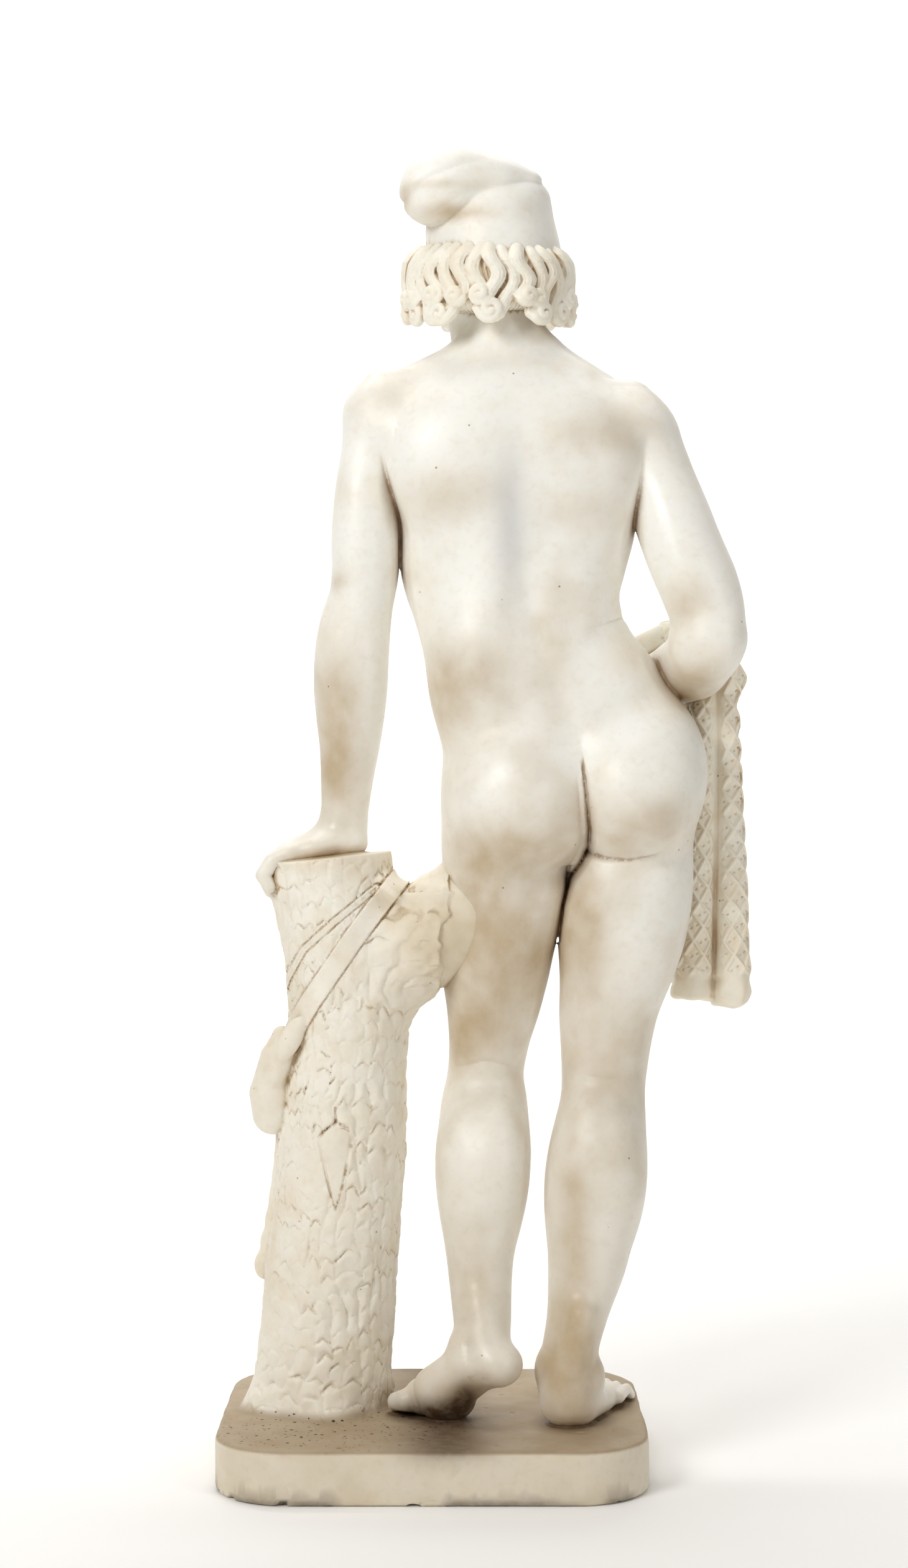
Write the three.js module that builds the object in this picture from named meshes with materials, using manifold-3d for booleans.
// A marble statue carved from one block: a young man in a folded cap leans on a tree stump,
// a fishing net over one forearm and a flask on a strap over the stump's cut branch.
// Millimetres, +Z up. The origin is the centre of the plinth's underside. The figure faces +Y,
// so +X is its right-hand side. Everything is one stone, so the group holds one mesh.
import * as THREE from "three";
import { mergeVertices } from "three/addons/utils/BufferGeometryUtils.js";
import Module from "manifold-3d";

const wasm = await Module();
wasm.setup();

// ---------------------------------------------------------------- driving dimensions

const PLINTH = { width: 418, depth: 342, height: 52, corner: 72, arris: 3 };

// A station is [x, y, z, halfWide, halfDeep]: a cross-section's centre and its two half sizes.
const TORSO = [
  [140, 10, 608, 96, 44],
  [141, 8, 650, 118, 58],
  [139, 5, 700, 127, 71],
  [127, 8, 752, 124, 70],
  [104, 12, 815, 112, 66],
  [83, 13, 862, 107, 66],
  [84, 9, 929, 117, 75],
  [86, 6, 985, 123, 78],
  [80, 3, 1035, 124, 66],
  [75, 2, 1066, 100, 50],
  [73, 0, 1090, 64, 44],
];
const NECK = [
  [74, -4, 1072, 62, 46],
  [72, 2, 1108, 46, 43],
  [66, 14, 1145, 42, 42],
  [62, 20, 1175, 42, 42],
];
const SHOULDER_GIRDLE = [
  [-54, 5, 1044, 38, 36],
  [8, 0, 1064, 46, 38],
  [76, -6, 1076, 48, 38],
  [144, -3, 1060, 46, 38],
  [204, 0, 1036, 38, 38],
];
const STANDING_LEG = [
  [190, 6, 705, 40, 40],
  [200, 6, 652, 60, 60],
  [197, 2, 580, 64, 68],
  [188, 2, 510, 60, 66],
  [177, 4, 441, 50, 54],
  [171, 2, 385, 42, 45],
  [167, -6, 339, 46, 47],
  [162, -18, 290, 48, 50],
  [155, -30, 225, 42, 41],
  [145, -44, 165, 32, 32],
  [136, -60, 112, 29, 30],
  [133, -68, 78, 29, 30],
];
const BENT_LEG = [
  [92, 10, 705, 40, 40],
  [80, 10, 652, 60, 60],
  [73, 6, 580, 60, 66],
  [67, 10, 510, 56, 64],
  [61, 24, 447, 47, 54],
  [55, 38, 393, 41, 46],
  [51, 20, 352, 44, 46],
  [50, 2, 300, 45, 47],
  [48, -18, 240, 39, 40],
  [47, -34, 190, 32, 33],
  [50, -50, 145, 28, 29],
  [48, -68, 104, 25, 27],
];
const LEANING_ARM = [
  [-55, 5, 1040, 33, 38],
  [-60, 5, 1008, 36, 40],
  [-64, 5, 965, 33, 37],
  [-68, 4, 915, 34, 36],
  [-75, 0, 848, 33, 34],
  [-79, 0, 790, 34, 33],
  [-83, 4, 724, 31, 30],
  [-88, 9, 670, 25, 23],
  [-91, 14, 630, 23, 17],
];
const BENT_UPPER_ARM = [
  [212, 0, 1030, 36, 40],
  [224, -5, 1000, 38, 42],
  [236, -11, 962, 38, 39],
  [246, -18, 927, 40, 40],
  [262, -32, 870, 38, 37],
  [273, -42, 822, 33, 34],
];
const BENT_FOREARM = [
  [270, -42, 812, 33, 34],
  [268, -8, 796, 33, 32],
  [256, 42, 782, 29, 29],
  [232, 86, 775, 23, 21],
  [214, 106, 774, 20, 16],
];
const STUMP = [
  [-119, 14, 40, 84, 78],
  [-113, 18, 74, 68, 66],
  [-105, 20, 150, 64, 63],
  [-97, 20, 249, 62, 61],
  [-91, 20, 350, 61, 60],
  [-88, 20, 440, 60, 60],
  [-99, 20, 540, 61, 60],
  [-106, 20, 603, 61, 60],
];
const CUT_BRANCH = [
  [-78, 14, 452, 48, 48],
  [-48, 2, 492, 52, 50],
  [-12, -10, 525, 52, 49],
  [24, -20, 541, 50, 47],
];
const STRAP = [
  [-28, -34, 588, 12, 5],
  [-46, -45, 560, 12, 5],
  [-84, -50, 505, 12, 5],
  [-118, -42, 452, 12, 5],
  [-146, -18, 402, 12, 6],
  [-154, -2, 386, 12, 7],
];
const CORD = [
  [-50, -36, 574, 5, 4],
  [-84, -40, 551, 5, 4],
  [-118, -36, 524, 5, 4],
  [-148, -6, 498, 5, 5],
];
const STRAP_END = [
  [-146, 34, 330, 8, 7],
  [-158, 34, 262, 8, 6],
  [-170, 34, 205, 9, 6],
  [-178, 34, 187, 12, 6],
];
const FLASK = [
  [-152, 12, 428, 13, 12],
  [-156, 8, 405, 19, 17],
  [-163, 6, 370, 26, 24],
  [-165, 6, 342, 23, 22],
];

// Muscle that stands out from the limbs: centre, half sizes, turns about X, Y and Z.
const SEAT = [
  [[203, -8, 670], [63, 75, 92], [0, 8, -6]],
  [[86, -6, 664], [65, 75, 90], [0, -8, 6]],
];
const CHEST = [
  [[132, 52, 995], [56, 26, 36], [0, 0, -14]],
  [[36, 52, 998], [56, 26, 36], [0, 0, 14]],
];
const SPINE_FURROW = 0.07; // depth of the back's middle line, as a share of the torso's half depth
const LEANING_PALM = [
  [-91, 14, 632, 20, 16],
  [-110, 20, 622, 27, 14],
  [-148, 26, 612, 31, 11],
];
const LEANING_THUMB = [
  [-110, 40, 620, 9, 9],
  [-132, 58, 612, 8, 8],
  [-146, 68, 606, 7, 7],
];
const HOLDING_PALM = [
  [214, 106, 774, 20, 15],
  [198, 114, 776, 28, 13],
  [180, 118, 776, 30, 11],
];

// The net hangs over the forearm in thick folds: each is [x, y, top z, bottom z, half width, half depth].
const NET_FOLDS = [
  [262, 50, 790, 474, 15, 34],
  [284, 38, 796, 462, 12, 30],
  [303, 50, 798, 456, 15, 36],
  [282, 66, 800, 462, 24, 26],
];
const NET_FLARE = 1.3; // how much wider a fold is at its foot than on the forearm
const NET_ROLL = [
  [300, 52, 792, 20, 26],
  [272, 60, 812, 24, 30],
  [238, 84, 814, 24, 26],
  [204, 108, 800, 22, 22],
];
const LOIN_NET = { hand: [186, 112, 790], foot: [140, 86, 556], halfWide: 50, count: 4 };

const RIGHT_FOOT = { heel: [125, -98], heading: 10, lift: 0, inner: -1 };
const LEFT_FOOT = { heel: [58, -96], heading: -37, lift: 34, inner: 1 };
const FOOT_LENGTH = 188;

// The head is modelled upright, facing +Y, about its own centre, then bowed and turned to the left.
const HEAD = { centre: [57, 22, 1204], turn: 40, bow: 16 };
const CAP = [
  [60, 22, 1206, 67, 72],
  [60, 20, 1232, 64, 68],
  [62, 16, 1258, 55, 58],
  [72, 10, 1278, 37, 42],
  [86, 8, 1290, 18, 22],
];
const CAP_TAIL = [
  [102, 4, 1287, 7, 10],
  [78, -4, 1287, 18, 22],
  [50, -10, 1285, 31, 32],
  [22, -14, 1283, 39, 38],
  [-2, -12, 1280, 35, 34],
];
const HAIR = { wide: 63, deep: 71, level: -20, fall: 31, thick: 26, tilt: 18, opening: 46, spans: 8 };
const CURLS = { count: 12, radius: 16, wide: 72, deep: 82, level: -20 };

// ---------------------------------------------------------------- geometry helpers

const vector = (p) => new THREE.Vector3(...p);
const radians = THREE.MathUtils.degToRad;

// A placement from a centre, half sizes and turns about X, Y and Z in degrees.
function placement(centre, scales = [1, 1, 1], turns = [0, 0, 0]) {
  const turned = new THREE.Quaternion().setFromEuler(new THREE.Euler(...turns.map(radians), "ZYX"));
  return new THREE.Matrix4().compose(vector(centre), turned, vector(scales));
}

// Skins rings of points, each with the same count, and closes both ends on a pole.
function skin(rings, firstPole, lastPole) {
  const sides = rings[0].length;
  const points = [...rings.flat(), firstPole, lastPole];
  const first = points.length - 2;
  const last = points.length - 1;
  const index = [];
  for (let ring = 0; ring < rings.length - 1; ring++) {
    for (let side = 0; side < sides; side++) {
      const a = ring * sides + side;
      const b = ring * sides + ((side + 1) % sides);
      index.push(a, b, b + sides, a, b + sides, a + sides);
    }
  }
  const end = (rings.length - 1) * sides;
  for (let side = 0; side < sides; side++) {
    const next = (side + 1) % sides;
    index.push(first, next, side, last, end + side, end + next);
  }
  return new THREE.BufferGeometry().setFromPoints(points).setIndex(index);
}

// A limb: elliptical sections along a smooth line through the stations, with domed ends. An end inside
// another limb has a startDome of 0, which leaves it flat. A level limb keeps its sections horizontal.
// shape(angle, share) scales the radius, for bark, roots and the spine.
function limb(stations, options = {}) {
  const { sides = 16, perSpan = 1, across = [1, 0, 0], level = false, dome = 0.6, shape } = options;
  const { startDome = dome } = options;
  const line = new THREE.CatmullRomCurve3(stations.map(([x, y, z]) => new THREE.Vector3(x, y, z)));
  const sizes = new THREE.CatmullRomCurve3(stations.map(([, , , w, d]) => new THREE.Vector3(w, d, 0)));
  const count = (stations.length - 1) * perSpan;
  const upOrDown = Math.sign(stations.at(-1)[2] - stations[0][2]);

  const frameAt = (share) => {
    const along = level ? new THREE.Vector3(0, 0, upOrDown) : line.getTangent(share);
    const wide = vector(across).addScaledVector(along, -vector(across).dot(along)).normalize();
    const deep = along.clone().cross(wide);
    return { centre: line.getPoint(share), size: sizes.getPoint(share), along, wide, deep };
  };
  const ringAt = (frame, share, scale = 1, push = 0) =>
    Array.from({ length: sides }, (_, side) => {
      const angle = (side / sides) * 2 * Math.PI;
      const radius = scale * (shape ? shape(angle, share) : 1);
      return frame.centre
        .clone()
        .addScaledVector(frame.wide, Math.cos(angle) * frame.size.x * radius)
        .addScaledVector(frame.deep, Math.sin(angle) * frame.size.y * radius)
        .addScaledVector(frame.along, push);
    });
  const pole = (frame, height) => frame.centre.clone().addScaledVector(frame.along, height);

  const start = frameAt(0);
  const finish = frameAt(1);
  const startHeight = -startDome * Math.min(start.size.x, start.size.y);
  const finishHeight = dome * Math.min(finish.size.x, finish.size.y);
  const part = Math.SQRT1_2; // a dome has one ring of its own, an eighth of a turn from its rim
  const rings = [];
  if (startDome) rings.push(ringAt(start, 0, part, startHeight * part));
  for (let i = 0; i <= count; i++) rings.push(ringAt(frameAt(i / count), i / count));
  if (dome) rings.push(ringAt(finish, 1, part, finishHeight * part));
  return skin(rings, pole(start, startHeight), pole(finish, finishHeight));
}

// An ellipsoid with the given half sizes.
function ball(centre, halves, turns = [0, 0, 0], detail = 12) {
  const sphere = new THREE.SphereGeometry(1, detail, Math.ceil(detail * 0.6));
  return sphere.applyMatrix4(placement(centre, halves, turns));
}

// ---------------------------------------------------------------- the stone's parts

function plinth() {
  const { width, depth, height, corner, arris } = PLINTH;
  const outline = new THREE.Shape();
  const x = width / 2 - arris;
  const y = depth / 2 - arris;
  const r = corner - arris;
  const quarter = Math.PI / 2;
  outline.moveTo(-x + r, -y);
  outline.lineTo(x - r, -y).absarc(x - r, -y + r, r, -quarter, 0);
  outline.lineTo(x, y - r).absarc(x - r, y - r, r, 0, quarter);
  outline.lineTo(-x + r, y).absarc(-x + r, y - r, r, quarter, 2 * quarter);
  outline.lineTo(-x, -y + r).absarc(-x + r, -y + r, r, 2 * quarter, 3 * quarter);
  const slab = new THREE.ExtrudeGeometry(outline, {
    depth: height - 2 * arris,
    curveSegments: 4,
    bevelSize: arris,
    bevelThickness: arris,
    bevelSegments: 1,
  });
  return [slab.translate(0, 0, arris)];
}

function stump() {
  const bark = (angle, share) => {
    const ridges = 0.022 * Math.cos(8 * angle + 7 * share);
    const roots = 0.07 * (1 - share) ** 8 * Math.cos(4 * angle + 0.6);
    return 1 + ridges + roots;
  };
  return [
    limb(STUMP, { sides: 24, level: true, dome: 0, shape: bark }),
    limb(CUT_BRANCH, { sides: 12, startDome: 0, dome: 0.16 }),
  ];
}

// The strap lies over the crotch of the cut branch and runs down to the flask.
function strapAndFlask() {
  return [
    limb(STRAP, { sides: 6, across: [0.8, 0, 0.6] }),
    limb(CORD, { sides: 5 }),
    limb(STRAP_END, { sides: 6 }),
    limb(FLASK, { sides: 9, dome: 0.8 }),
  ];
}

function body() {
  const furrow = (angle, share) => {
    const fromSpine = (angle - 1.5 * Math.PI) / radians(9);
    return 1 - SPINE_FURROW * Math.sin(Math.PI * share) * Math.exp(-fromSpine * fromSpine);
  };
  return [
    limb(TORSO, { sides: 20, level: true, shape: furrow }),
    limb(NECK, { sides: 11, dome: 0 }),
    limb(SHOULDER_GIRDLE, { sides: 12, across: [0, 0, 1] }),
    limb(STANDING_LEG, { sides: 12, level: true, startDome: 0 }),
    limb(BENT_LEG, { sides: 12, level: true, startDome: 0 }),
    ...SEAT.map((muscle) => ball(...muscle, 12)),
    ...CHEST.map((muscle) => ball(...muscle, 10)),
  ];
}

function arms() {
  const shape = { sides: 11, dome: 0.9 };
  return [LEANING_ARM, BENT_UPPER_ARM, BENT_FOREARM].map((stations) => limb(stations, shape));
}

// Four fingers side by side. place(across, out, drop) puts a point of the hand in the statue's frame.
function fingers(place, lengths, radius) {
  return lengths.map((length, finger) => {
    const across = (finger - 1.5) * 1.95 * radius;
    const joints = [
      [0, 0],
      [0.5, 0.06],
      [1, 0.5],
      [1.1, 1.1],
    ];
    const stations = joints.map(([out, drop], i) => {
      const thick = radius * (1 - 0.08 * i);
      return [...place(across, out * length, drop * length), thick, thick];
    });
    return limb(stations, { sides: 5, startDome: 0 });
  });
}

function hands() {
  const leaning = (across, out, drop) => [-146 - out * 0.94, 26 + across - out * 0.2, 612 - drop];
  const holding = (across, out, drop) => [180 - out, 118 - drop * 0.5, 776 + across];
  return [
    limb(LEANING_PALM, { sides: 8, across: [0, 1, 0], startDome: 0 }),
    ...fingers(leaning, [24, 27, 29, 26], 8),
    limb(LEANING_THUMB, { sides: 5 }),
    limb(HOLDING_PALM, { sides: 8, across: [0, 0, 1], startDome: 0 }),
    ...fingers(holding, [22, 26, 28, 25], 8),
  ];
}

// A foot lies along its heading from the back of its heel. side is measured towards the big toe,
// and a lifted heel's height fades out at the ball of the foot.
function foot({ heel, heading, lift, inner }) {
  const aim = radians(heading);
  const ball = 0.66 * FOOT_LENGTH;
  const station = (side, along, up, wide, deep) => [
    heel[0] + along * Math.sin(aim) + side * inner * Math.cos(aim),
    heel[1] + along * Math.cos(aim) - side * inner * Math.sin(aim),
    PLINTH.height + up + lift * Math.max(0, 1 - along / ball),
    wide,
    deep,
  ];
  const across = [Math.cos(aim), -Math.sin(aim), 0];
  const sole = [
    station(0, 24, 24, 23, 24),
    station(0, 56, 30, 24, 27),
    station(2, 92, 23, 30, 22),
    station(3, ball, 13, 35, 14),
  ];
  const toes = Array.from({ length: 5 }, (_, toe) => {
    const radius = toe ? 6.5 : 10;
    const side = 28 - toe * 14.5;
    const root = ball - toe * 3;
    const tip = FOOT_LENGTH - radius - toe * 9;
    const stations = [
      station(side, root, 10, radius, radius),
      station(side, (root + tip) / 2, 11, radius, radius),
      station(side, tip, radius * 0.8, radius, radius * 0.8),
    ];
    return limb(stations, { sides: 5, across, startDome: 0 });
  });
  const heelFill = lift ? [limb([station(0, 30, 2, 15, 14), station(0, ball, 2, 26, 8)], { sides: 8, across })] : [];
  return [limb(sole, { sides: 12, across, dome: 0.9 }), ...toes, ...heelFill];
}

function net() {
  const folds = NET_FOLDS.map(([x, y, top, bottom, wide, deep]) => {
    const stations = [0, 0.33, 0.66, 1].map((share) => {
      const spread = 1 + (NET_FLARE - 1) * share;
      return [x - 4 * share, y, THREE.MathUtils.lerp(top, bottom, share), wide * spread, deep * spread];
    });
    return limb(stations, { sides: 8, dome: 0.25 });
  });
  return [...folds, limb(NET_ROLL, { sides: 10, across: [0, 0, 1] }), ...loinFolds()];
}

// The inner end of the net fans out from the hand and falls across the front of the loins.
function loinFolds() {
  const { hand, foot: hem, halfWide, count } = LOIN_NET;
  return Array.from({ length: count }, (_, fold) => {
    const spread = (fold / (count - 1)) * 2 - 1;
    const stations = [0, 0.5, 1].map((share) => [
      THREE.MathUtils.lerp(hand[0], hem[0] + spread * halfWide, share),
      THREE.MathUtils.lerp(hand[1], hem[1] - 10 * spread * spread, Math.sqrt(share)),
      THREE.MathUtils.lerp(hand[2], hem[2] + 14 * spread * spread, share),
      THREE.MathUtils.lerp(9, 17, share),
      THREE.MathUtils.lerp(9, 12, share),
    ]);
    return limb(stations, { sides: 7, startDome: 0, dome: 0.4 });
  });
}

// The head's pieces in its own upright frame, then bowed and turned.
function head() {
  const frame = placement(HEAD.centre, [1, 1, 1], [-HEAD.bow, 0, HEAD.turn]);
  const lie = placement([0, 0, HAIR.level], [1, 1, 1], [HAIR.tilt, 0, 0]);
  const skull = [
    ball([0, 0, 14], [54, 68, 62], [0, 0, 0], 10),
    ball([0, 22, -30], [45, 46, 60], [0, 0, 0], 12),
    ball([0, 46, -70], [19, 19, 17], [0, 0, 0], 8),
    limb([[0, 64, 8, 6, 6], [0, 78, -20, 9, 9]], { sides: 6 }),
  ];
  // The hair runs in a horseshoe from one temple round the back of the head to the other.
  const around = (share, wide, deep) => {
    const angle = radians(90 + HAIR.opening + (360 - 2 * HAIR.opening) * share);
    return [wide * Math.cos(angle), deep * Math.sin(angle)];
  };
  const bandStations = Array.from({ length: HAIR.spans + 1 }, (_, i) => [
    ...around(i / HAIR.spans, HAIR.wide, HAIR.deep),
    0,
    HAIR.fall,
    HAIR.thick,
  ]);
  const band = limb(bandStations, { sides: 8, across: [0, 0, 1] }).applyMatrix4(lie);
  const curls = Array.from({ length: CURLS.count }, (_, i) => {
    const centre = vector([...around(i / (CURLS.count - 1), CURLS.wide, CURLS.deep), CURLS.level]);
    centre.applyMatrix4(lie);
    return ball(centre.toArray(), [CURLS.radius, CURLS.radius, CURLS.radius * 1.2], [0, 0, 0], 6);
  });
  const pieces = [...skull, band, ...curls].map((piece) => piece.applyMatrix4(frame));
  const tail = limb(CAP_TAIL, { sides: 12, across: [0, 0, 1], dome: 0.8 });
  return [...pieces, limb(CAP, { startDome: 0.7, dome: 0.3 }), tail];
}

// ---------------------------------------------------------------- one stone

// A closed geometry as a manifold-3d solid that faces outwards.
function solid(geometry) {
  const bare = geometry.index ? geometry.toNonIndexed() : geometry;
  const positions = new THREE.BufferGeometry().setAttribute("position", bare.getAttribute("position"));
  const merged = mergeVertices(positions, 1e-3);
  const vertProperties = merged.attributes.position.array;
  const triVerts = new Uint32Array(merged.index.array);
  const made = new wasm.Manifold(new wasm.Mesh({ numProp: 3, vertProperties, triVerts }));
  if (made.volume() > 0) return made;
  return new wasm.Manifold(new wasm.Mesh({ numProp: 3, vertProperties, triVerts: triVerts.reverse() }));
}

function carved(geometries) {
  const stone = geometries.map(solid).reduce((whole, piece) => whole.add(piece));
  const { vertProperties, triVerts } = stone.getMesh();
  const geometry = new THREE.BufferGeometry();
  geometry.setAttribute("position", new THREE.BufferAttribute(vertProperties, 3));
  geometry.setIndex(new THREE.BufferAttribute(triVerts, 1));
  geometry.computeVertexNormals();
  return geometry;
}

const marble = new THREE.MeshStandardMaterial({ color: 0xe6dfcf, roughness: 0.45, metalness: 0 });

const statue = new THREE.Mesh(
  carved([
    ...plinth(),
    ...stump(),
    ...strapAndFlask(),
    ...body(),
    ...arms(),
    ...hands(),
    ...foot(RIGHT_FOOT),
    ...foot(LEFT_FOOT),
    ...net(),
    ...head(),
  ]),
  marble,
);
statue.name = "statue";

export default new THREE.Group().add(statue);
